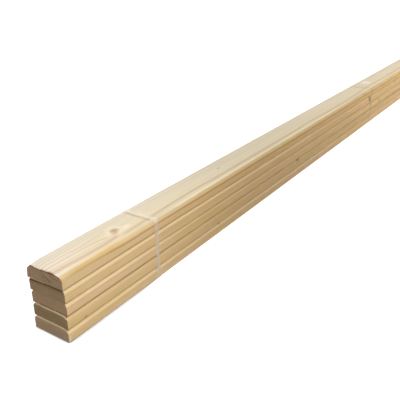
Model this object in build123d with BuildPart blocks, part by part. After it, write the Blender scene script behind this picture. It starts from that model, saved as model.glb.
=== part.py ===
"""Bundle of five planed softwood battens, stacked flat in one column and bound by three plastic straps.

Millimetres. The bundle lies along X with +Z up. Its origin is on the floor, under the middle of its
length and width, and its near end, the one that shows most, is at -X.
"""

import os

from build123d import *

# Battens: planed softwood with square-cut ends, two rounded upper edges and two lower edges that are only eased
batten_length = 2100.0
batten_width = 58.0
batten_thickness = 18.0
upper_edge_radius = 6.0
lower_edge_radius = 1.0

# Stack: flat face on flat face, sides in line, with ends that are knocked up only roughly.
# The shares give each batten's set-back from the near end, from the floor up.
end_stagger = 2.4
setback_shares = (0.0, 0.4, 1.0, 0.85, 0.35)

# Straps: narrow plastic band drawn tight round the stack, one near each end and one in the middle
strap_width = 8.0
strap_thickness = 0.6
strap_clearance = 0.1
strap_end_distance = 170.0

# Strap joint: the band's two ends overlap at the back and are welded together.
# One end is cut square, and the other ramps down from the outer layer to the inner one.
weld_overlap = 26.0
weld_ramp = 4.0

batten_count = len(setback_shares)
stack_height = batten_count * batten_thickness
stack_base = strap_thickness + strap_clearance
stack_middle = stack_base + stack_height / 2
bundle_length = batten_length + end_stagger * (max(setback_shares) - min(setback_shares))
near_end = -bundle_length / 2
far_end = bundle_length / 2

os.makedirs("parts", exist_ok=True)


def planed_outline(width, height, upper_radius, lower_radius):
    """A rectangle with two corners rounded to one radius at the top, and two to another at the bottom."""
    with BuildSketch() as outline:
        Rectangle(width, height)
        fillet(outline.vertices().group_by(Axis.Y)[-1], radius=upper_radius)
        fillet(outline.vertices().group_by(Axis.Y)[0], radius=lower_radius)
    return outline.sketch


# One batten for each layer, counted up from the floor
batten_section = planed_outline(batten_width, batten_thickness, upper_edge_radius, lower_edge_radius)

for layer, setback_share in enumerate(setback_shares):
    batten_start = near_end + end_stagger * (setback_share - min(setback_shares))
    batten_middle = stack_base + (layer + 0.5) * batten_thickness
    batten_end_plane = Plane(origin=(batten_start, 0, batten_middle), x_dir=(0, 1, 0), z_dir=(1, 0, 0))
    with BuildPart() as batten:
        with BuildSketch(batten_end_plane):
            add(batten_section)
        extrude(amount=batten_length)
    batten.part.label = f"batten_{layer + 1}"
    export_step(batten.part, f"parts/{batten.part.label}.step")

# One closed band for each strap, with its inner face just clear of the stack
strap_places = {
    "strap_near_end": near_end + strap_end_distance,
    "strap_middle": (near_end + far_end) / 2,
    "strap_far_end": far_end - strap_end_distance,
}
band_inner = planed_outline(
    batten_width + 2 * strap_clearance,
    stack_height + 2 * strap_clearance,
    upper_edge_radius + strap_clearance,
    lower_edge_radius + strap_clearance,
)
band_cover = strap_clearance + strap_thickness
band_outer = planed_outline(
    batten_width + 2 * band_cover,
    stack_height + 2 * band_cover,
    upper_edge_radius + band_cover,
    lower_edge_radius + band_cover,
)
band_back = batten_width / 2 + band_cover

for strap_name, strap_place in strap_places.items():
    strap_plane = Plane(origin=(strap_place, 0, stack_middle), x_dir=(0, 1, 0), z_dir=(1, 0, 0))
    with BuildPart() as strap:
        with BuildSketch(strap_plane):
            add(band_outer)
            with BuildLine():
                Polyline(
                    (band_back - strap_thickness, -weld_overlap / 2),
                    (band_back + strap_thickness, -weld_overlap / 2),
                    (band_back + strap_thickness, weld_overlap / 2),
                    (band_back, weld_overlap / 2 + weld_ramp),
                    (band_back - strap_thickness, weld_overlap / 2 + weld_ramp),
                    close=True,
                )
            make_face()
            add(band_inner, mode=Mode.SUBTRACT)
        extrude(amount=strap_width / 2, both=True)
    strap.part.label = strap_name
    export_step(strap.part, f"parts/{strap_name}.step")
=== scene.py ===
import math

import bmesh
import bpy
from mathutils import Matrix, Vector, noise


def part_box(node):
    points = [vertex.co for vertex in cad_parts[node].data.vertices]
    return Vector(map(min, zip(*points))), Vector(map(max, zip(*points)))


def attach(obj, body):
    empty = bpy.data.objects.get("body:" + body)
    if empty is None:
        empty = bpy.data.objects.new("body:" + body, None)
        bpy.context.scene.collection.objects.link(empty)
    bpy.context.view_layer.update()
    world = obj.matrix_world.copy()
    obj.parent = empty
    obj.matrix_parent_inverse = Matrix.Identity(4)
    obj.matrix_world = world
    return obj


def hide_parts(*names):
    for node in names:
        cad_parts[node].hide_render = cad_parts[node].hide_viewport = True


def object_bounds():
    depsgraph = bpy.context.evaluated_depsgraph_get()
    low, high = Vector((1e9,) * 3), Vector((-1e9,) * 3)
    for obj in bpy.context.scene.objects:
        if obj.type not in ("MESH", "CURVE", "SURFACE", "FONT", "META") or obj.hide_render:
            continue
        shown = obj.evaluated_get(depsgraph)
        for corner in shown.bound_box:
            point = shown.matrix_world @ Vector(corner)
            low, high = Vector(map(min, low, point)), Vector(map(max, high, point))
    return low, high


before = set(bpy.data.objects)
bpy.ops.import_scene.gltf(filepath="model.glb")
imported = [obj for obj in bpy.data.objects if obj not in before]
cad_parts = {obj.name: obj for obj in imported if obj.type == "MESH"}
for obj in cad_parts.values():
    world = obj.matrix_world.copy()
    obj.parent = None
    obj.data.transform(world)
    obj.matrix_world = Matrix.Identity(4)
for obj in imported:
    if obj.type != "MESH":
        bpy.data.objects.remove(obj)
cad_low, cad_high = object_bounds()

# Battens
# Five lengths of planed spruce, sawn almost square at the ends. The planer rounds the two upper long
# edges and only eases the two lower ones. They lie flat on each other, and only the straps hold them.
mm = 0.001
upper_radius = 6.0 * mm
upper_segments = 8
lower_segments = 3
arris_ease = 0.35 * mm
arris_segments = 2
slice_length = 8.0 * mm
strip_width = 3.0 * mm
holding_cut = 0.5 * mm
end_slice_places = (0.8 * mm, 1.6 * mm, 2.6 * mm, 4.0 * mm, 6.0 * mm)


def cut_across(shape, place, direction):
    geometry = shape.verts[:] + shape.edges[:] + shape.faces[:]
    bmesh.ops.bisect_plane(shape, geom=geometry, dist=1e-7, plane_co=place, plane_no=direction)


def even_places(start, stop, step):
    count = max(1, round((stop - start) / step))
    return [start + (stop - start) * index / count for index in range(count + 1)]


def block(low, high):
    shape = bmesh.new()
    bmesh.ops.create_cube(shape, size=1.0)
    bmesh.ops.scale(shape, vec=high - low, verts=shape.verts)
    bmesh.ops.translate(shape, vec=(low + high) / 2, verts=shape.verts)
    return shape


def round_long_edges(shape, height, radius, segments):
    """Round the two edges that run along X at the given height."""
    edges = [
        edge for edge in shape.edges
        if all(abs(vert.co.z - height) < 1e-6 for vert in edge.verts)
        and abs(edge.verts[0].co.y - edge.verts[1].co.y) < 1e-6
    ]
    bmesh.ops.bevel(
        shape, geom=edges, offset=radius, offset_type="OFFSET", segments=segments,
        profile=0.5, affect="EDGES", material=-1,
    )


def planed_length(node, lower_radius, extra_slices, extra_strips):
    """One batten as it leaves the planer and the saw, cut into faces small enough for wear."""
    low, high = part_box(node)
    shape = block(low, high)
    round_long_edges(shape, high.z, upper_radius, upper_segments)
    round_long_edges(shape, low.z, lower_radius, lower_segments)
    end_edges = {edge for face in shape.faces if abs(face.normal.x) > 0.9 for edge in face.edges}
    bmesh.ops.bevel(
        shape, geom=list(end_edges), offset=arris_ease, offset_type="OFFSET", segments=arris_segments,
        profile=0.5, affect="EDGES", material=-1,
    )
    long_edges = [
        edge for edge in shape.edges
        if abs(edge.verts[0].co.x - edge.verts[1].co.x) > slice_length
    ]
    bmesh.ops.subdivide_edges(
        shape, edges=long_edges, cuts=round((high.x - low.x) / slice_length), use_grid_fill=True,
    )
    for place in end_slice_places:
        cut_across(shape, (low.x + place, 0, 0), (1, 0, 0))
        cut_across(shape, (high.x - place, 0, 0), (1, 0, 0))
    for place in extra_slices:
        cut_across(shape, (low.x + place, 0, 0), (1, 0, 0))
    flat_top = high.y - upper_radius - holding_cut
    for place in even_places(-flat_top, flat_top, strip_width) + list(extra_strips):
        cut_across(shape, (0, place, 0), (0, 1, 0))
    side_foot = low.z + lower_radius + holding_cut
    side_head = high.z - upper_radius - holding_cut
    for place in even_places(side_foot, side_head, strip_width):
        cut_across(shape, (0, 0, place), (0, 0, 1))
    return shape, low, high


saw_wander = 0.45 * mm
saw_wander_length = 14.0 * mm
saw_reach = 6.5 * mm


def wander_ends(shape, low, high, seed):
    """The saw's cut wanders a little across each end, always into the wood."""
    for vert in shape.verts:
        for end_place, inward in ((low.x, 1), (high.x, -1)):
            distance = abs(vert.co.x - end_place)
            if distance < saw_reach:
                spot = Vector((vert.co.y, vert.co.z, seed * saw_wander_length)) / saw_wander_length
                depth = saw_wander * (0.5 + 0.5 * noise.noise(spot))
                vert.co.x += inward * depth * (1 - distance / saw_reach)


edge_wear = 0.3 * mm
edge_wear_length = 45.0 * mm
end_wear = 1.5
end_wear_length = 70.0 * mm
seam_wander = 0.45 * mm
seam_wander_length = 110.0 * mm
eased_reach = 1.6 * mm


def wear_edges(shape, low, high, seed):
    """The rounded edges are knocked back unevenly, most at the ends, and the eased ones wander."""
    for vert in shape.verts:
        side = -1 if vert.co.y < 0 else 1
        from_end = min(vert.co.x - low.x, high.x - vert.co.x)
        past_flat = (abs(vert.co.y) - (high.y - upper_radius)) / upper_radius
        above_side = (vert.co.z - (high.z - upper_radius)) / upper_radius
        if past_flat > 0 and above_side > 0:
            spot = Vector((vert.co.x / edge_wear_length, side, seed))
            depth = edge_wear * (0.5 + 0.5 * noise.noise(spot))
            depth *= 1 + end_wear * math.exp(-from_end / end_wear_length)
            depth *= 2 * past_flat * above_side
            vert.co.y -= side * depth / math.sqrt(2)
            vert.co.z -= depth / math.sqrt(2)
        if vert.co.z < low.z + eased_reach and abs(vert.co.y) > high.y - eased_reach:
            spot = Vector((vert.co.x / seam_wander_length, 7 * side, seed))
            share = 1 - (vert.co.z - low.z) / eased_reach
            vert.co.z += seam_wander * max(0.0, noise.noise(spot)) * share


tear_middle = 6.0 * mm
tear_half_width = 15.0 * mm
tear_depth = 1.3 * mm
tear_height = 6.0 * mm
tear_reach = 6.5 * mm
torn_fibre_width = 2.6 * mm
slant_reach = 30.0 * mm


def tear_near_end(shape, low, high):
    """The near end of the top batten has fibres torn out of its upper edge."""
    for vert in shape.verts:
        across = (vert.co.y - tear_middle) / tear_half_width
        below = (high.z - vert.co.z) / tear_height
        distance = vert.co.x - low.x
        if abs(across) < 1 and below < 1 and distance < tear_reach:
            ragged = 0.8 + 0.5 * noise.noise(Vector((vert.co.y / torn_fibre_width, 0.3, 0.7)))
            share = (1 - across ** 4) * ragged * (1 - below) * (1 - distance / tear_reach)
            vert.co.z -= tear_depth * share


def slant_near_end(shape, low, high, foot_slant, top_slant):
    """The near end is cut a little out of square, so that its back edge stands out."""
    for vert in shape.verts:
        distance = vert.co.x - low.x
        if distance < slant_reach:
            to_back = (vert.co.y - low.y) / (high.y - low.y)
            to_top = (vert.co.z - low.z) / (high.z - low.z)
            slant = foot_slant + (top_slant - foot_slant) * to_top
            vert.co.x -= slant * to_back * (1 - distance / slant_reach)


def press_dent(shape, middle, reach, push):
    """A dent with a round bottom: full push at its middle, and none at its rim."""
    for vert in shape.verts:
        offset = vert.co - middle
        distance = sum((offset[axis] / reach[axis]) ** 2 for axis in range(3))
        if distance < 1:
            vert.co += push * (1 - distance) ** 2


def screen(red, green, blue):
    """A colour as it reads on a screen, from 0 to 255, turned into the shader's linear values."""
    def linear(value):
        value /= 255
        return value / 12.92 if value <= 0.04045 else ((value + 0.055) / 1.055) ** 2.4
    return (linear(red), linear(green), linear(blue), 1.0)


def feed(tree, socket, value):
    if isinstance(value, bpy.types.NodeSocket):
        tree.links.new(value, socket)
    else:
        socket.default_value = value


def maths(tree, operation, *values):
    node = tree.nodes.new("ShaderNodeMath")
    node.operation = operation
    for socket, value in zip(node.inputs, values):
        feed(tree, socket, value)
    return node.outputs[0]


def product(tree, *values):
    result = values[0]
    for value in values[1:]:
        result = maths(tree, "MULTIPLY", result, value)
    return result


def rise(tree, value, start, stop, low=0.0, high=1.0):
    """A smooth step of the value between start and stop."""
    node = tree.nodes.new("ShaderNodeMapRange")
    node.interpolation_type = "SMOOTHSTEP"
    for name, given in (
        ("Value", value), ("From Min", start), ("From Max", stop), ("To Min", low), ("To Max", high),
    ):
        feed(tree, node.inputs[name], given)
    return node.outputs["Result"]


def blend_colour(tree, share, first, second, mode="MIX"):
    node = tree.nodes.new("ShaderNodeMix")
    node.data_type = "RGBA"
    node.blend_type = mode
    colours = [socket for socket in node.inputs if socket.type == "RGBA"]
    feed(tree, node.inputs[0], share)
    feed(tree, colours[0], first)
    feed(tree, colours[1], second)
    return next(socket for socket in node.outputs if socket.type == "RGBA")


def darken(tree, colour, level):
    """The colour times a grey level."""
    grey = tree.nodes.new("ShaderNodeCombineColor")
    for socket in grey.inputs:
        tree.links.new(level, socket)
    return blend_colour(tree, 1.0, colour, grey.outputs[0], "MULTIPLY")


def stretched_noise(tree, place, stretch, detail=2.0, shift=0.0, tilt=0.0):
    """Noise with its cells as long as the stretch gives, in millimetres along each axis."""
    turned = tree.nodes.new("ShaderNodeMapping")
    tree.links.new(place, turned.inputs["Vector"])
    turned.inputs["Rotation"].default_value = (tilt, 0, 0)
    node = tree.nodes.new("ShaderNodeMapping")
    tree.links.new(turned.outputs["Vector"], node.inputs["Vector"])
    node.inputs["Scale"].default_value = [1 / length for length in stretch]
    node.inputs["Location"].default_value = (shift, shift, shift)
    cells = tree.nodes.new("ShaderNodeTexNoise")
    tree.links.new(node.outputs["Vector"], cells.inputs["Vector"])
    cells.inputs["Scale"].default_value = 1.0
    cells.inputs["Detail"].default_value = detail
    return cells.outputs[0]


def new_finish(name):
    material = bpy.data.materials.new(name)
    material.use_nodes = True
    tree = material.node_tree
    return material, tree, tree.nodes["Principled BSDF"]


def add_bump(tree, shader, height, distance):
    bump = tree.nodes.new("ShaderNodeBump")
    bump.inputs["Strength"].default_value = 1.0
    bump.inputs["Distance"].default_value = distance
    tree.links.new(height, bump.inputs["Height"])
    tree.links.new(bump.outputs["Normal"], shader.inputs["Normal"])


def batten_place(tree, low, high):
    """Millimetres from the middle of the batten's near end."""
    coordinates = tree.nodes.new("ShaderNodeTexCoord")
    node = tree.nodes.new("ShaderNodeMapping")
    tree.links.new(coordinates.outputs["Object"], node.inputs["Vector"])
    middle = (low + high) / 2
    node.inputs["Scale"].default_value = (1 / mm, 1 / mm, 1 / mm)
    node.inputs["Location"].default_value = (-low.x / mm, -middle.y / mm, -middle.z / mm)
    split = tree.nodes.new("ShaderNodeSeparateXYZ")
    tree.links.new(node.outputs["Vector"], split.inputs[0])
    return node.outputs["Vector"], tuple(split.outputs)


def flow_round(tree, along, across, centre, size):
    """The coordinate across the grain, bent as fibres bend round a knot of the given size."""
    stretch = 0.3
    softening = 0.3
    ahead = maths(tree, "MULTIPLY_ADD", along, stretch, -stretch * centre[0])
    beside = maths(tree, "SUBTRACT", across, centre[1])
    reach = maths(tree, "ADD", product(tree, ahead, ahead), product(tree, beside, beside))
    squeeze = maths(tree, "DIVIDE", size ** 2, maths(tree, "ADD", reach, softening * size ** 2))
    return maths(tree, "SUBTRACT", across, product(tree, beside, squeeze))


def growth_rings(tree, place, across, up, pith, ring_width, seed):
    """How dark the latewood is at a point, in rings round a pith that wanders along the batten."""
    across = maths(tree, "SUBTRACT", across, pith[0])
    up = maths(tree, "SUBTRACT", up, pith[1])
    reach = maths(tree, "SQRT", maths(tree, "ADD", product(tree, across, across), product(tree, up, up)))
    wander = stretched_noise(tree, place, (460.0, 40.0, 40.0), 2.0, seed)
    reach = maths(tree, "MULTIPLY_ADD", wander, 8.0, reach)
    turns = maths(tree, "DIVIDE", reach, ring_width)
    phase = maths(tree, "FRACT", turns)
    late = product(tree, rise(tree, phase, 0.35, 0.9), rise(tree, phase, 1.0, 0.9))
    year = tree.nodes.new("ShaderNodeTexWhiteNoise")
    year.noise_dimensions = "1D"
    feed(tree, year.inputs["W"], maths(tree, "ADD", maths(tree, "FLOOR", turns), seed))
    return product(tree, late, maths(tree, "MULTIPLY_ADD", year.outputs["Value"], 0.8, 0.2))


def line_share(tree, along, across, run, half_width, length):
    """1 on a line that runs along the batten through the given places, and 0 off it."""
    curve = tree.nodes.new("ShaderNodeFloatCurve")
    feed(tree, curve.inputs["Value"], maths(tree, "DIVIDE", along, length))
    lowest = min(place[1] for place in run)
    spread = max(place[1] for place in run) - lowest + 1.0
    curve.mapping.extend = "HORIZONTAL"
    points = curve.mapping.curves[0].points
    while len(points) < len(run):
        points.new(0.5, 0.5)
    for point, (place, height) in zip(points, run):
        point.location = (place / length, (height - lowest) / spread)
    curve.mapping.update()
    line = maths(tree, "MULTIPLY_ADD", curve.outputs["Value"], spread, lowest)
    share = rise(tree, maths(tree, "ABSOLUTE", maths(tree, "SUBTRACT", across, line)), half_width, 0.0)
    fade = min(20.0, 0.12 * (run[-1][0] - run[0][0]))
    if run[0][0] > 0:
        share = product(tree, share, rise(tree, along, run[0][0], run[0][0] + fade))
    if run[-1][0] < length:
        share = product(tree, share, rise(tree, along, run[-1][0], run[-1][0] - fade))
    return share


def spot_distance(tree, axes, centre, reach):
    """0 in the middle of an oval spot, 1 at its rim and more outside it."""
    parts = []
    for axis, middle, half in zip(axes, centre, reach):
        offset = maths(tree, "MULTIPLY_ADD", axis, 1 / half, -middle / half)
        parts.append(product(tree, offset, offset))
    return maths(tree, "SQRT", maths(tree, "ADD", maths(tree, "ADD", parts[0], parts[1]), parts[2]))


# The pale face colour is the top face's own tone with a painted sheen on it.
pale_face_and_sheen_colour = screen(217, 203, 174)
fresh_colour = screen(225, 213, 196)
late_colour = screen(188, 146, 96)
line_colour = screen(172, 116, 62)
top_line_colour = screen(180, 140, 88)
knot_and_shadow_colour = screen(142, 108, 60)
halo_colour = screen(242, 226, 198)
pink_colour = screen(226, 184, 146)
yellow_colour = screen(224, 193, 121)
orange_colour = screen(226, 183, 94)
seam_shade_colour = screen(150, 98, 32)
cool_colour = screen(212, 202, 181)
sliver_highlight_colour = screen(253, 228, 188)
dark_colour = screen(96, 66, 34)
pale_mark_and_highlight_colour = screen(240, 226, 202)
shaded_colour = screen(138, 107, 72)
painted_crest_shade = (0.83, 0.92, 1.05, 1.0)


def planed_finish(node, low, high, look, seed):
    """Planed spruce: pale faces with a painted sheen, warmer edges, rings and fibres, one batten's own
    marks, and painted shade and highlights on the rounded edges and seams.
    """
    material, tree, shader = new_finish("planed_spruce_" + node)
    place, (along, across, up) = batten_place(tree, low, high)
    length = (high.x - low.x) / mm
    bent_across, bent_up = across, up
    for centre, reach, strength in look["knots"]:
        if centre[2] > 8:
            bent_across = flow_round(tree, along, bent_across, (centre[0], centre[1]), reach[1])
        else:
            bent_up = flow_round(tree, along, bent_up, (centre[0], centre[2]), reach[2])
    late = growth_rings(tree, place, bent_across, bent_up, look["pith"], look["ring_width"], seed)
    bent_place = tree.nodes.new("ShaderNodeCombineXYZ")
    for socket, value in zip(bent_place.inputs, (along, bent_across, bent_up)):
        tree.links.new(value, socket)
    grain = stretched_noise(tree, bent_place.outputs[0], (190.0, 1.9, 1.9), 1.0, seed + 0.6)
    fibre = stretched_noise(tree, place, (70.0, 0.7, 0.7), 4.0, seed)
    streaks = stretched_noise(tree, place, (320.0, 3.2, 3.2), 3.0, seed + 0.5)
    patch = stretched_noise(tree, place, (230.0, 24.0, 16.0), 2.0, seed + 0.2)

    turned_in = rise(tree, along, 85.0, 140.0, 0.0, look["edge_drift"])
    edge_start, edge_stop = look["front_edge"]
    front_edge = rise(tree, maths(tree, "ADD", across, turned_in), -edge_start, -edge_stop)
    edge_share = maths(tree, "MAXIMUM", front_edge, rise(tree, across, 25.0, 28.6))
    fresh_share = product(tree, rise(tree, along, 110.0, 5.0), 0.7)
    wood = blend_colour(tree, fresh_share, pale_face_and_sheen_colour, fresh_colour)
    wood = blend_colour(tree, rise(tree, across, 0.0, 16.0, 0.0, 0.6), wood, cool_colour)
    pink_share = product(tree, rise(tree, patch, 0.52, 0.72), rise(tree, along, 450.0, 850.0, 0.08, 0.45))
    side = blend_colour(tree, rise(tree, along, 40.0, 420.0), look["edge_colour"], look["far_colour"])
    side = blend_colour(tree, pink_share, side, pink_colour)
    side = blend_colour(tree, rise(tree, patch, 0.5, 0.32, 0.0, 0.6), side, yellow_colour)
    if look["orange_edge"]:
        rounding = product(tree, rise(tree, across, -22.0, -26.0), rise(tree, up, 1.5, 4.0))
        glow = stretched_noise(tree, place, (42.0, 12.0, 9.0), 2.0, seed + 0.9)
        glow = product(tree, rise(tree, glow, 0.38, 0.62), rise(tree, along, 150.0, 95.0, 0.0, 0.4))
        side = blend_colour(tree, product(tree, rounding, glow), side, orange_colour)
    wood = blend_colour(tree, edge_share, wood, side)
    if look["orange_edge"]:
        # Painted shade: the crest of the front rounding is darkened, most from the first strap to about
        # 900 mm along.
        crest_shade_share = product(tree, rise(tree, across, -21.5, -25.5), rise(tree, up, 4.5, 6.8))
        crest_shade_share = product(tree, crest_shade_share, rise(tree, along, 140.0, 200.0, 0.4, 1.0))
        crest_shade_share = product(tree, crest_shade_share, rise(tree, along, 900.0, 1150.0, 1.0, 0.4))
        wood = blend_colour(tree, crest_shade_share, wood, painted_crest_shade, "MULTIPLY")
    wood = blend_colour(tree, product(tree, late, 0.22), wood, late_colour)
    rounded = product(tree, rise(tree, across, -22.0, -26.0), rise(tree, up, 1.8, 4.4))
    rounded = product(tree, rounded, rise(tree, up, 9.0, 7.0))
    # Painted highlight: the lit front upper rounding of each batten is blended towards a pale colour,
    # fading out beyond about 600 mm.
    highlight_share = product(tree, rounded, rise(tree, along, 50.0, 300.0, *look["rounding_highlight"]))
    highlight_share = product(tree, highlight_share, rise(tree, along, 600.0, 1000.0, 1.0, 0.1))
    wood = blend_colour(tree, highlight_share, wood, pale_mark_and_highlight_colour)
    # Painted shade: the front and back seams, at the foot and head of each batten's sides, are darkened
    # brown, fading along the length.
    below = rise(tree, up, -6.6, -8.7, 0.0, look["seam_shade"][0])
    above = rise(tree, up, 6.4, 8.6, 0.0, look["seam_shade"][1])
    at_side = rise(tree, maths(tree, "ABSOLUTE", across), 24.0, 27.0)
    seam_shade = product(tree, maths(tree, "ADD", below, above), at_side)
    seam_shade = product(tree, seam_shade, maths(tree, "MULTIPLY_ADD", patch, 0.8, 0.6))
    seam_shade = product(tree, seam_shade, rise(tree, along, 120.0, 420.0, 1.0, 0.15))
    wood = blend_colour(tree, seam_shade, wood, seam_shade_colour)
    for face, run, half_width, strength in look["lines"]:
        if face == "top":
            share = line_share(tree, along, bent_across, run, half_width, length)
            share = product(tree, share, rise(tree, up, 5.0, 7.0))
            colour = top_line_colour
        else:
            share = line_share(tree, along, up, run, half_width, length)
            share = product(tree, share, rise(tree, across, -26.0, -28.5))
            colour = line_colour
        wavering = maths(tree, "MULTIPLY_ADD", streaks, 1.0, 0.5)
        wood = blend_colour(tree, product(tree, share, strength, wavering), wood, colour)
    ragged = stretched_noise(tree, place, (7.0, 3.0, 3.0), 3.0, seed + 0.7)
    for centre, reach, strength in look["knots"]:
        distance = spot_distance(tree, (along, across, up), centre, reach)
        distance = maths(tree, "ADD", distance, maths(tree, "MULTIPLY_ADD", ragged, 0.5, -0.25))
        wood = blend_colour(tree, rise(tree, distance, 2.2, 1.1, 0.0, 0.35 * strength), wood, halo_colour)
        rings = maths(tree, "SINE", maths(tree, "MULTIPLY", distance, 14.0))
        rings = maths(tree, "MULTIPLY_ADD", rings, 0.12, 0.88)
        share = product(tree, rise(tree, distance, 1.2, 0.15), rings, strength)
        wood = blend_colour(tree, share, wood, knot_and_shadow_colour)
    for colour, centre, reach, strength in look["marks"]:
        distance = spot_distance(tree, (along, across, up), centre, reach)
        distance = maths(tree, "ADD", distance, maths(tree, "MULTIPLY_ADD", ragged, 0.6, -0.3))
        wood = blend_colour(tree, rise(tree, distance, 1.0, 0.3, 0.0, strength), wood, colour)
    # Painted light: the front seams are lightened from about 150 mm along, fading out by about 1050 mm.
    seam_light_share = maths(tree, "MAXIMUM", rise(tree, up, 6.5, 8.5), rise(tree, up, -7.4, -8.6))
    seam_light_share = product(tree, seam_light_share, rise(tree, across, -22.0, -25.0), rise(tree, along, 150.0, 260.0))
    seam_light_share = product(tree, seam_light_share, rise(tree, along, 750.0, 1050.0, look["seam_light_lift"], 0.0))
    mottle = stretched_noise(tree, place, (26.0, 6.0, 6.0), 2.0, seed + 0.3)
    mottle = product(tree, maths(tree, "SUBTRACT", mottle, 0.5), edge_share)
    mottle = product(tree, mottle, rise(tree, along, 350.0, 800.0, 0.1, 0.3))
    shade = rise(tree, along, 50.0, 300.0, *look["rounding_shade"])
    level = product(
        tree,
        maths(tree, "ADD", seam_light_share, 1.0),
        maths(tree, "ADD", mottle, 1.0),
        maths(tree, "MULTIPLY_ADD", grain, 0.12, 0.94),
        maths(tree, "MULTIPLY_ADD", rounded, shade, 1.0),
        maths(tree, "MULTIPLY_ADD", fibre, 0.16, 0.92),
        maths(tree, "MULTIPLY_ADD", streaks, 0.2, 0.9),
        maths(tree, "MULTIPLY_ADD", patch, 0.10, 0.95),
    )
    tree.links.new(darken(tree, wood, level), shader.inputs["Base Color"])
    tree.links.new(maths(tree, "MULTIPLY_ADD", fibre, 0.2, 0.5), shader.inputs["Roughness"])
    dusty = maths(tree, "MAXIMUM", rise(tree, up, 5.5, 8.0), rise(tree, up, -7.2, -8.6))
    dusty = product(tree, dusty, rise(tree, maths(tree, "ABSOLUTE", across), 21.0, 25.0))
    tree.links.new(maths(tree, "MULTIPLY_ADD", dusty, -0.28, 0.3), shader.inputs["Specular IOR Level"])
    add_bump(tree, shader, maths(tree, "MULTIPLY_ADD", late, 0.3, fibre), 0.05 * mm)
    return material


def end_line_share(tree, across, up, start, stop, half_width):
    """1 on a straight line between two places on the end, and 0 beside it."""
    run = (stop[0] - start[0], stop[1] - start[1])
    square = run[0] ** 2 + run[1] ** 2
    out = maths(tree, "SUBTRACT", across, start[0])
    rising = maths(tree, "SUBTRACT", up, start[1])
    share = product(tree, out, run[0] / square)
    share = maths(tree, "ADD", share, product(tree, rising, run[1] / square))
    share = maths(tree, "MINIMUM", maths(tree, "MAXIMUM", share, 0.0), 1.0)
    out = maths(tree, "SUBTRACT", out, product(tree, share, run[0]))
    rising = maths(tree, "SUBTRACT", rising, product(tree, share, run[1]))
    square_distance = maths(tree, "ADD", product(tree, out, out), product(tree, rising, rising))
    return rise(tree, maths(tree, "SQRT", square_distance), half_width, 0.0)


def sawn_finish(node, low, high, look, seed):
    """Sawn end grain: darker, with growth rings, saw lines, torn fibres and cracks, and painted shade and
    highlights along some edges.
    """
    material, tree, shader = new_finish("sawn_end_" + node)
    place, (_, across, up) = batten_place(tree, low, high)
    late = growth_rings(tree, place, across, up, look["pith"], look["ring_width"], seed)
    fuzz = stretched_noise(tree, place, (2.0, 0.7, 0.7), 4.0, seed)
    saw_lines = stretched_noise(tree, place, (6.0, 26.0, 0.5), 2.0, seed, math.radians(24))
    stain = stretched_noise(tree, place, (40.0, 16.0, 8.0), 2.0, seed + 0.4)
    wood = blend_colour(tree, product(tree, late, 0.4), look["end_colour"], look["end_late_colour"])
    for colour, start, stop, half_width in look["cracks_and_painted_edges"]:
        wood = blend_colour(tree, end_line_share(tree, across, up, start, stop, half_width), wood, colour)
    level = product(
        tree,
        maths(tree, "MULTIPLY_ADD", fuzz, 0.24, 0.88),
        maths(tree, "MULTIPLY_ADD", saw_lines, 0.24, 0.88),
        maths(tree, "MULTIPLY_ADD", stain, 0.3, 0.85),
        # The end darkens towards its upper edge; on batten_4 this is painted shadow under batten_5's
        # overhanging end.
        rise(tree, up, look["end_top_start"], 8.5, 1.0, look["end_top_level"]),
    )
    tree.links.new(darken(tree, wood, level), shader.inputs["Base Color"])
    shader.inputs["Roughness"].default_value = 0.85
    shader.inputs["Specular IOR Level"].default_value = 0.2
    add_bump(tree, shader, maths(tree, "ADD", fuzz, saw_lines), 0.12 * mm)
    return material
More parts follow.
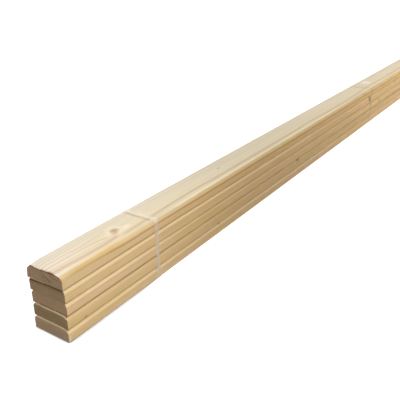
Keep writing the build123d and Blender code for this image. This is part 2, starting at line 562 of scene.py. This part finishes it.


# Each batten's own wood. Lines run through places (along, across or up), in millimetres from the
# middle of the near end, and knots and marks have a middle and a reach on the same axes. The plain
# edge puts the side's colour on the whole batten, and the bright rim is a painted highlight along the
# upper edge of an end.
plain_edge = (-32.0, -30.0)
highlight_rim = (
    (sliver_highlight_colour, (23.0, 8.6), (-22.5, 8.6), 2.1),
    (sliver_highlight_colour, (-22.5, 8.6), (-27.0, 6.0), 1.6),
)
batten_looks = {
    "batten_1": dict(
        pith=(-6.0, 52.0), ring_width=2.6, lower_radius=0.5 * mm, end_slant=(0.0, 0.0),
        front_edge=plain_edge, orange_edge=False, edge_drift=0.0,
        seam_shade=(0.3, 0.4), seam_light_lift=0.0, rounding_highlight=(0.16, 0.28), rounding_shade=(0.1, -0.02),
        edge_colour=screen(237, 204, 154), far_colour=screen(230, 193, 138),
        end_colour=screen(208, 176, 141), end_late_colour=screen(184, 152, 117),
        end_top_level=1.0, end_top_start=4.0, cracks_and_painted_edges=highlight_rim, knots=(), lines=(),
        marks=(
            (dark_colour, (329.0, -27.5, 7.0), (4.0, 4.0, 2.2), 0.9),
            (pale_mark_and_highlight_colour, (181.0, -29.0, 5.3), (7.0, 4.0, 1.4), 0.8),
            # Painted highlight on the strip of top left bare at the near end.
            (sliver_highlight_colour, (0.0, 0.0, 9.5), (4.0, 45.0, 4.0), 1.0),
            (pale_mark_and_highlight_colour, (1.0, -29.0, -4.0), (5.0, 4.0, 6.0), 0.8),
        ),
    ),
    "batten_2": dict(
        pith=(9.0, -48.0), ring_width=3.1, lower_radius=0.5 * mm, end_slant=(0.0, 0.0),
        front_edge=plain_edge, orange_edge=False, edge_drift=0.0,
        seam_shade=(0.4, 0.75), seam_light_lift=0.3, rounding_highlight=(0.04, 0.12), rounding_shade=(-0.06, -0.16),
        edge_colour=screen(234, 199, 145), far_colour=screen(224, 186, 127),
        end_colour=screen(176, 148, 109), end_late_colour=screen(156, 127, 88),
        end_top_level=1.0, end_top_start=4.0, cracks_and_painted_edges=highlight_rim, knots=(), lines=(),
        marks=(
            (line_colour, (29.0, -29.0, -7.0), (4.0, 4.0, 2.0), 0.6),
            # Painted highlight on the strip of top left bare at the near end.
            (sliver_highlight_colour, (0.0, 0.0, 9.5), (4.0, 45.0, 4.0), 1.0),
            (dark_colour, (619.0, -27.5, 5.5), (7.0, 4.0, 3.0), 0.7),
        ),
    ),
    "batten_3": dict(
        pith=(-14.0, -60.0), ring_width=2.3, lower_radius=0.55 * mm, end_slant=(0.9 * mm, 0.9 * mm),
        front_edge=plain_edge, orange_edge=False, edge_drift=0.0,
        seam_shade=(0.58, 0.15), seam_light_lift=0.5, rounding_highlight=(0.12, 0.1), rounding_shade=(0.06, -0.12),
        edge_colour=screen(234, 201, 151), far_colour=screen(234, 195, 136),
        end_colour=screen(199, 166, 130), end_late_colour=screen(174, 142, 106),
        end_top_level=1.0, end_top_start=4.0, lines=(), knots=(),
        cracks_and_painted_edges=(
            # Painted shade along the foot of the end, in the crevice where it stands back from batten_2.
            (dark_colour, (16.0, -7.5), (-6.0, -8.3), 0.9),
            (dark_colour, (-10.0, -8.2), (-27.0, -8.4), 1.1),
        ),
        marks=(
            (knot_and_shadow_colour, (1113.0, -29.0, 3.0), (8.0, 6.0, 4.0), 0.35),
            (knot_and_shadow_colour, (1126.0, -29.0, -2.5), (8.0, 6.0, 6.0), 0.45),
        ),
    ),
    "batten_4": dict(
        pith=(4.0, 50.0), ring_width=2.9, lower_radius=0.3 * mm, end_slant=(1.3 * mm, 1.3 * mm),
        front_edge=plain_edge, orange_edge=False, edge_drift=0.0,
        seam_shade=(0.2, 0.3), seam_light_lift=0.32, rounding_highlight=(0.2, 0.23), rounding_shade=(0.03, 0.0),
        edge_colour=screen(233, 199, 145), far_colour=screen(232, 193, 134),
        end_colour=screen(190, 158, 122), end_late_colour=screen(168, 136, 100),
        end_top_level=0.7, end_top_start=0.0, lines=(), knots=(),
        cracks_and_painted_edges=(
            # Painted shadow below the overhang of batten_5's end.
            (shaded_colour, (27.0, 6.0), (2.0, 7.4), 3.4),
            (shaded_colour, (2.0, 7.4), (-26.0, 7.0), 2.8),
        ),
        marks=(
            (knot_and_shadow_colour, (1038.0, -29.0, 5.5), (11.0, 6.0, 5.0), 0.8),
            (knot_and_shadow_colour, (1041.0, -29.0, -1.0), (11.0, 6.0, 8.0), 0.95),
            (knot_and_shadow_colour, (1255.0, -29.0, 5.5), (12.0, 6.0, 4.0), 0.35),
        ),
    ),
    "batten_5": dict(
        pith=(30.0, -50.0), ring_width=2.4, lower_radius=0.6 * mm, end_slant=(1.8 * mm, 0.2 * mm),
        front_edge=(22.0, 27.0), orange_edge=True, edge_drift=1.0,
        seam_shade=(0.3, 0.0), seam_light_lift=0.32, rounding_highlight=(0.0, 0.06), rounding_shade=(-0.14, -0.04),
        edge_colour=screen(233, 201, 149), far_colour=screen(230, 190, 127),
        end_colour=screen(198, 165, 131), end_late_colour=screen(176, 144, 110),
        end_top_level=0.55, end_top_start=5.5,
        cracks_and_painted_edges=(
            (dark_colour, (5.0, 7.0), (-9.0, -5.0), 0.6),
            (dark_colour, (1.0, 1.0), (-13.0, -3.0), 0.4),
            (dark_colour, (7.0, 3.5), (-3.0, -6.0), 0.35),
            (dark_colour, (-9.0, 4.5), (-22.0, 2.0), 0.4),
            (dark_colour, (4.0, 8.2), (-20.0, 8.2), 1.6),
            (dark_colour, (-20.0, 8.2), (-26.0, 5.5), 1.4),
            # Painted highlight along the foot of the end.
            (sliver_highlight_colour, (27.0, -8.8), (2.0, -8.8), 1.3),
        ),
        marks=(
            (dark_colour, (373.0, 2.0, 9.0), (5.0, 2.2, 3.0), 0.55),
            (dark_colour, (0.0, -10.0, 9.0), (1.8, 17.0, 4.0), 0.8),
            (line_colour, (0.0, -6.0, 9.0), (3.6, 20.0, 4.0), 0.4),
            (line_colour, (111.0, -9.0, 9.0), (10.0, 4.0, 4.0), 0.4),
            (halo_colour, (133.0, -8.5, 9.0), (10.0, 5.0, 4.0), 0.4),
            (pale_mark_and_highlight_colour, (1102.0, 5.0, 9.0), (22.0, 17.0, 4.0), 0.8),
            # Painted shadows: a dark line across the top just before the near edge of the near and the
            # middle strap.
            (knot_and_shadow_colour, (163.4, 2.0, 10.0), (3.4, 44.0, 4.5), 0.42),
            (knot_and_shadow_colour, (1042.0, 2.0, 10.0), (6.0, 44.0, 4.5), 0.4),
        ),
        knots=(((115.5, -3.0, 9.0), (8.5, 6.5, 14.0), 0.78),),
        lines=(
            ("top", (
                (0, -14.0), (30, -15.5), (60, -16.4), (82, -16.0), (100, -14.3), (116, -11.5),
            ), 6.5, 0.5),
            ("top", (
                (104, -17.6), (140, -16.8), (165, -16.8), (180, -16.6), (230, -15.0), (270, -14.6),
                (300, -15.0), (345, -17.0), (500, -17.5), (640, -17.5), (670, -16.0), (760, -18.0),
                (850, -19.5), (950, -18.0), (1010, -16.0), (1075, -14.5), (1150, -15.0), (1290, -15.5),
                (1500, -15.0), (1700, -19.0), (1900, -17.0), (2100, -18.0),
            ), 5.0, 0.46),
            ("top", ((636, -18.5), (646, -16.0), (656, -13.0)), 1.6, 0.35),
            ("top", ((0, 10.0), (40, 9.6), (70, 9.0)), 1.4, 0.16),
            ("top", ((0, 4.5), (30, 4.0), (50, 3.5)), 1.5, 0.36),
            ("top", ((0, -2.5), (30, -2.8), (60, -3.4), (105, -6.0)), 1.5, 0.45),
            ("top", ((0, -8.0), (40, -8.8), (80, -9.0), (105, -8.5)), 1.4, 0.35),
            ("top", ((40, 2.0), (80, 2.2), (98, 3.0), (112, 6.0)), 1.5, 0.4),
            ("side", ((0, 4.3), (40, 4.3), (57, 3.9), (72, 3.3), (90, 2.5)), 2.4, 0.28),
            ("side", (
                (70, 3.4), (97, 2.2), (122, 1.5), (142, 1.8), (215, 1.9), (285, 1.6),
                (400, 1.3), (550, 1.1), (700, 0.6), (850, 1.3), (985, 1.4), (1115, 0.0),
                (1225, 1.6), (1700, 1.0), (2100, 1.0),
            ), 2.4, 0.55),
        ),
    ),
}
knock_inset = 5.0 * mm
knock_reach = Vector((26.0, 11.0, 9.0)) * mm
knock_push = Vector((0, 0.4, -1.3)) * mm
corner_reach = Vector((16.0, 9.0, 8.0)) * mm
corner_push = Vector((0, -2.0, -1.2)) * mm
nick_inset = 1.5 * mm
nick_reach = Vector((3.6, 3.6, 3.2)) * mm
nick_push = Vector((0, 1.6, -0.8)) * mm
nick_middle = 329.0 * mm
nick_slices = [nick_middle + step * mm for step in (-4.0, -2.6, -1.3, 0.0, 1.3, 2.6, 4.0)]
tear_strip = 1.0 * mm
tear_strips = even_places(tear_middle - tear_half_width, tear_middle + tear_half_width, tear_strip)
extra_slices = {"batten_1": nick_slices}
extra_strips = {"batten_5": tear_strips}

for seed, (node, look) in enumerate(batten_looks.items(), start=1):
    shape, low, high = planed_length(
        node, look["lower_radius"], extra_slices.get(node, ()), extra_strips.get(node, ()),
    )
    wander_ends(shape, low, high, seed)
    wear_edges(shape, low, high, seed)
    if node == "batten_5":
        tear_near_end(shape, low, high)
    slant_near_end(shape, low, high, *look["end_slant"])
    if node == "batten_5":
        knocked = Vector((low.x, low.y + knock_inset, high.z))
        press_dent(shape, knocked, knock_reach, knock_push)
        back_corner = Vector((low.x, high.y, high.z))
        press_dent(shape, back_corner, corner_reach, corner_push)
    if node == "batten_1":
        nick = Vector((low.x + nick_middle, low.y + nick_inset, high.z - nick_inset))
        press_dent(shape, nick, nick_reach, nick_push)
    for face in shape.faces:
        face.smooth = True
        face.material_index = 1 if abs(face.normal.x) > 0.7 else 0
    for edge in shape.edges:
        if len({face.material_index for face in edge.link_faces}) > 1:
            edge.smooth = False
    mesh = bpy.data.meshes.new("planed_" + node)
    shape.to_mesh(mesh)
    shape.free()
    mesh.materials.append(planed_finish(node, low, high, look, seed))
    mesh.materials.append(sawn_finish(node, low, high, look, seed))
    batten = bpy.data.objects.new("planed_" + node, mesh)
    bpy.context.scene.collection.objects.link(batten)
    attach(batten, "root")
    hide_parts(node)

# Straps
# Three bands of narrow clear plastic strap, drawn tight round the stack by a strapping machine.
# Each band's two ends overlap at the back and are welded there, with a row of shallow ribs.
strap_thickness = 0.6 * mm
strap_cover = 0.7 * mm
strap_rim = 0.2 * mm
strap_skin = 0.1 * mm
strap_crease = math.radians(16)
strap_strip = 2.0 * mm
strap_step = 4.0 * mm
strap_foot_radius = 1.0 * mm
strap_foot_margin = 2.0 * mm
lifted_edge = 0.25 * mm
lifted_depth = 2.0 * mm
lift_run = 8.0 * mm
weld_half_height = 13.0 * mm
weld_ramp = 4.0 * mm
weld_tip = 0.06 * mm
weld_rib = 2.0 * mm
weld_rib_depth = 0.12 * mm
weld_margin = 4.0 * mm
strap_colour = screen(222, 221, 213)
strap_streak_colour = screen(212, 210, 200)
emboss_step = 1.6
emboss_depth = 0.05 * mm


def strap_band(low, high):
    """The closed band, with its near edge standing a little off the top of the stack."""
    shape = block(low, Vector((high.x, -low.y, high.z)))
    round_long_edges(shape, high.z, upper_radius + strap_cover, upper_segments)
    round_long_edges(shape, low.z, strap_foot_radius + strap_cover, upper_segments)
    sides = [face for face in shape.faces if abs(face.normal.x) > 0.9]
    bmesh.ops.delete(shape, geom=sides, context="FACES_ONLY")
    for place in even_places(low.x, high.x, strap_strip)[1:-1]:
        cut_across(shape, (place, 0, 0), (1, 0, 0))
    flat_top = -low.y - strap_cover - upper_radius
    for place in even_places(-flat_top, flat_top, strap_step):
        cut_across(shape, (0, place, 0), (0, 1, 0))
    side_head = high.z - upper_radius - strap_cover
    for place in even_places(low.z + strap_foot_margin, side_head, strap_step):
        cut_across(shape, (0, 0, place), (0, 0, 1))
    bmesh.ops.recalc_face_normals(shape, faces=shape.faces)
    bmesh.ops.solidify(shape, geom=shape.faces[:], thickness=strap_thickness)
    rims = [
        edge for edge in shape.edges
        if len({abs(face.normal.x) > 0.9 for face in edge.link_faces}) == 2
    ]
    bmesh.ops.bevel(
        shape, geom=rims, offset=strap_rim, offset_type="OFFSET", segments=2,
        profile=0.5, affect="EDGES", material=-1,
    )
    for vert in shape.verts:
        to_near = (high.x - vert.co.x) / (high.x - low.x)
        on_top = min(1.0, max(0.0, (flat_top - abs(vert.co.y)) / lift_run))
        if vert.co.z > high.z - lifted_depth:
            vert.co.z += lifted_edge * to_near ** 2 * on_top * (2 - on_top)
    return shape


def add_weld(shape, low, high):
    """The overlapping end: a second layer on the back, cut square below and ramped down above."""
    middle = (low.z + high.z) / 2
    back = -low.y
    weld_low = Vector((low.x, back, middle - weld_half_height))
    weld_high = Vector((high.x, high.y, middle + weld_half_height + weld_ramp))
    layer = block(weld_low, weld_high)
    cut_across(layer, (0, 0, middle + weld_half_height), (0, 0, 1))
    for vert in layer.verts:
        if vert.co.z > weld_high.z - mm and vert.co.y > back + strap_skin:
            vert.co.y = back + weld_tip
    rib_half_height = weld_half_height - weld_margin
    ribs = even_places(middle - rib_half_height, middle + rib_half_height, weld_rib / 2)
    for place in ribs:
        cut_across(layer, (0, 0, place), (0, 0, 1))
    for vert in layer.verts:
        if vert.co.y > back + strap_skin and ribs[0] < vert.co.z < ribs[-1]:
            if min(range(len(ribs)), key=lambda index: abs(ribs[index] - vert.co.z)) % 2:
                vert.co.y -= weld_rib_depth
    mesh = bpy.data.meshes.new("weld_layer")
    layer.to_mesh(mesh)
    layer.free()
    shape.from_mesh(mesh)
    bpy.data.meshes.remove(mesh)


strap_finish, strap_tree, strap_shader = new_finish("clear_strap")
coordinates = strap_tree.nodes.new("ShaderNodeTexCoord")
in_mm = strap_tree.nodes.new("ShaderNodeMapping")
in_mm.inputs["Scale"].default_value = (1 / mm, 1 / mm, 1 / mm)
strap_tree.links.new(coordinates.outputs["Object"], in_mm.inputs["Vector"])
split = strap_tree.nodes.new("ShaderNodeSeparateXYZ")
strap_tree.links.new(in_mm.outputs["Vector"], split.inputs[0])
round_band = maths(strap_tree, "ADD", split.outputs[1], split.outputs[2])
turn_share = 2 * math.pi / emboss_step
one_way = maths(strap_tree, "ADD", split.outputs[0], round_band)
one_way = maths(strap_tree, "SINE", product(strap_tree, one_way, turn_share))
other_way = maths(strap_tree, "SUBTRACT", split.outputs[0], round_band)
other_way = maths(strap_tree, "SINE", product(strap_tree, other_way, turn_share))
emboss = maths(strap_tree, "MAXIMUM", one_way, other_way)
drawn = stretched_noise(strap_tree, in_mm.outputs["Vector"], (0.8, 60.0, 60.0), 3.0)
drawn_share = rise(strap_tree, drawn, 0.35, 0.65)
strap_tint = blend_colour(strap_tree, drawn_share, strap_streak_colour, strap_colour)
strap_tree.links.new(strap_tint, strap_shader.inputs["Base Color"])
strap_roughness = maths(strap_tree, "MULTIPLY_ADD", drawn, 0.3, 0.2)
strap_tree.links.new(strap_roughness, strap_shader.inputs["Roughness"])
facing = strap_tree.nodes.new("ShaderNodeNewGeometry")
edge_on = strap_tree.nodes.new("ShaderNodeSeparateXYZ")
strap_tree.links.new(facing.outputs["True Normal"], edge_on.inputs[0])
edge_on = maths(strap_tree, "ABSOLUTE", edge_on.outputs[0])
haze = rise(strap_tree, edge_on, 0.1, 0.5, 0.43, 0.05)
haze = product(strap_tree, haze, rise(strap_tree, split.outputs[0], -700.0, -300.0, 1.0, 0.4))
haze = product(strap_tree, haze, maths(strap_tree, "SUBTRACT", 1.0, facing.outputs["Backfacing"]))
path = strap_tree.nodes.new("ShaderNodeLightPath")
let_through = maths(strap_tree, "MULTIPLY_ADD", path.outputs["Is Shadow Ray"], -0.9, 1.0)
strap_tree.links.new(product(strap_tree, haze, let_through), strap_shader.inputs["Alpha"])
strap_shader.inputs["Specular IOR Level"].default_value = 0.15
add_bump(strap_tree, strap_shader, emboss, emboss_depth)

for node in ("strap_near_end", "strap_middle", "strap_far_end"):
    low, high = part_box(node)
    shape = strap_band(low, high)
    add_weld(shape, low, high)
    for face in shape.faces:
        face.smooth = True
    for edge in shape.edges:
        if len(edge.link_faces) == 2 and edge.calc_face_angle() > strap_crease:
            edge.smooth = False
    mesh = bpy.data.meshes.new("drawn_" + node)
    shape.to_mesh(mesh)
    shape.free()
    mesh.materials.append(strap_finish)
    strap = bpy.data.objects.new("drawn_" + node, mesh)
    bpy.context.scene.collection.objects.link(strap)
    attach(strap, "root")
    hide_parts(node)

# Floor
# A pale studio floor that runs out of sight in every direction, and keeps the bundle's soft shadow.
floor_half_width = 40.0
floor_mesh = bpy.data.meshes.new("floor")
floor_shape = bmesh.new()
bmesh.ops.create_grid(floor_shape, x_segments=1, y_segments=1, size=floor_half_width)
floor_shape.to_mesh(floor_mesh)
floor_shape.free()
floor_finish = bpy.data.materials.new("floor")
floor_finish.use_nodes = True
tree = floor_finish.node_tree
tree.nodes.clear()
path = tree.nodes.new("ShaderNodeLightPath")
seen = maths(tree, "MAXIMUM", path.outputs["Is Camera Ray"], path.outputs["Is Glossy Ray"])
seen = maths(tree, "MAXIMUM", seen, path.outputs["Is Transmission Ray"])
bounce = tree.nodes.new("ShaderNodeBsdfDiffuse")
bounce.inputs["Color"].default_value = (0.25, 0.25, 0.25, 1.0)
shadow = tree.nodes.new("ShaderNodeBsdfDiffuse")
shadow.inputs["Color"].default_value = (0.75, 0.75, 0.75, 1.0)
coordinates = tree.nodes.new("ShaderNodeTexCoord")
split = tree.nodes.new("ShaderNodeSeparateXYZ")
tree.links.new(coordinates.outputs["Object"], split.inputs[0])
beside = maths(tree, "SUBTRACT", maths(tree, "ABSOLUTE", split.outputs[1]), cad_high.y)
beyond = maths(tree, "SUBTRACT", maths(tree, "ABSOLUTE", split.outputs[0]), cad_high.x)
from_near = maths(tree, "SUBTRACT", split.outputs[0], cad_low.x)
# Painted contact shadow: the glow the camera sees is dimmed under the bundle and a few millimetres beside
# it, over a wider band along the near part, and it rises further out.
contact_shade_shift = rise(tree, from_near, 0.11, 0.22, 3.0 * mm, -4.0 * mm)
contact_shade_shift = product(tree, contact_shade_shift, rise(tree, from_near, 0.0, 0.01))
outside = maths(tree, "MAXIMUM", maths(tree, "SUBTRACT", beside, contact_shade_shift), beyond)
glow = tree.nodes.new("ShaderNodeEmission")
contact_shaded_glow = rise(tree, outside, -3.0 * mm, 3.0 * mm, 0.05, 0.85)
far_glow = rise(tree, outside, 0.05, 0.5, 0.0, 0.25)
tree.links.new(maths(tree, "ADD", contact_shaded_glow, far_glow), glow.inputs["Strength"])
shown = tree.nodes.new("ShaderNodeAddShader")
tree.links.new(shadow.outputs[0], shown.inputs[0])
tree.links.new(glow.outputs[0], shown.inputs[1])
either = tree.nodes.new("ShaderNodeMixShader")
tree.links.new(seen, either.inputs[0])
tree.links.new(bounce.outputs[0], either.inputs[1])
tree.links.new(shown.outputs[0], either.inputs[2])
output = tree.nodes.new("ShaderNodeOutputMaterial")
tree.links.new(either.outputs[0], output.inputs["Surface"])
floor_mesh.materials.append(floor_finish)
floor = bpy.data.objects.new("floor", floor_mesh)
bpy.context.scene.collection.objects.link(floor)

# Light
# A weak even sky, three long soft lamps high up, in front and behind, two small lamps that lift the near
# and the far part of the seen side, and a weak fill on each end, which stays in shadow.
world = bpy.data.worlds.new("studio")
bpy.context.scene.world = world
world.use_nodes = True
tree = world.node_tree
sky = tree.nodes["Background"]
path = tree.nodes.new("ShaderNodeLightPath")
seen = maths(tree, "MAXIMUM", path.outputs["Is Camera Ray"], path.outputs["Is Transmission Ray"])
sky.inputs["Color"].default_value = (1.0, 1.0, 1.0, 1.0)
sky_strength = 0.06
sky_level = maths(tree, "MULTIPLY_ADD", seen, 1 - sky_strength, sky_strength)
tree.links.new(sky_level, sky.inputs["Strength"])


def soft_lamp(name, place, target, width, height, power, spread):
    lamp_data = bpy.data.lights.new(name, "AREA")
    lamp_data.shape = "RECTANGLE"
    lamp_data.size = width
    lamp_data.size_y = height
    lamp_data.energy = power
    lamp_data.spread = math.radians(spread)
    lamp = bpy.data.objects.new(name, lamp_data)
    lamp.location = place
    lamp.rotation_mode = "QUATERNION"
    lamp.rotation_quaternion = (Vector(target) - Vector(place)).to_track_quat("-Z", "Y")
    lamp.visible_camera = False
    bpy.context.scene.collection.objects.link(lamp)


near_x = cad_low.x
soft_lamp("high_front", (near_x + 0.9, -0.45, 1.75), (near_x + 0.9, 0.0, 0.09), 2.6, 0.25, 17.0, 180)
soft_lamp("long_front", (near_x + 0.9, -0.98, 1.18), (near_x + 0.9, 0.0, 0.05), 2.4, 0.3, 9.0, 180)
soft_lamp("long_back", (near_x + 0.9, 1.5, 1.15), (near_x + 0.9, 0.0, 0.05), 2.6, 0.6, 20.0, 180)
soft_lamp("near_front", (near_x + 0.12, -0.57, 0.65), (near_x, 0.0, 0.05), 0.3, 0.3, 0.4, 60)
soft_lamp("far_front", (near_x + 1.5, -0.7, 0.5), (near_x + 1.3, 0.0, 0.05), 0.6, 0.3, 1.2, 120)
for end_name, end_x, away in (("near_end_fill", cad_low.x, -1.6), ("far_end_fill", cad_high.x, 1.6)):
    soft_lamp(end_name, (end_x + away, 0.1, 0.7), (end_x, 0.0, 0.05), 0.8, 0.8, 7.0, 180)

# Camera
# It looks along the bundle from beyond its near end, a little above and in front.
view_yaw = math.radians(34.412)
view_pitch = math.radians(24.524)
view_roll = math.radians(0.853)
view_place = (near_x - 0.34192, -0.45131, 0.42015)
view_lens = 49.859
camera_data = bpy.data.cameras.new("camera")
camera_data.sensor_width = 36.0
camera_data.lens = view_lens
camera = bpy.data.objects.new("camera", camera_data)
forward = Vector((
    math.cos(view_pitch) * math.cos(view_yaw),
    math.cos(view_pitch) * math.sin(view_yaw),
    -math.sin(view_pitch),
))
turn = forward.to_track_quat("-Z", "Y").to_matrix().to_4x4() @ Matrix.Rotation(-view_roll, 4, "Z")
camera.matrix_world = Matrix.Translation(view_place) @ turn
bpy.context.scene.collection.objects.link(camera)
bpy.context.scene.camera = camera
bpy.context.scene.view_settings.view_transform = "Standard"
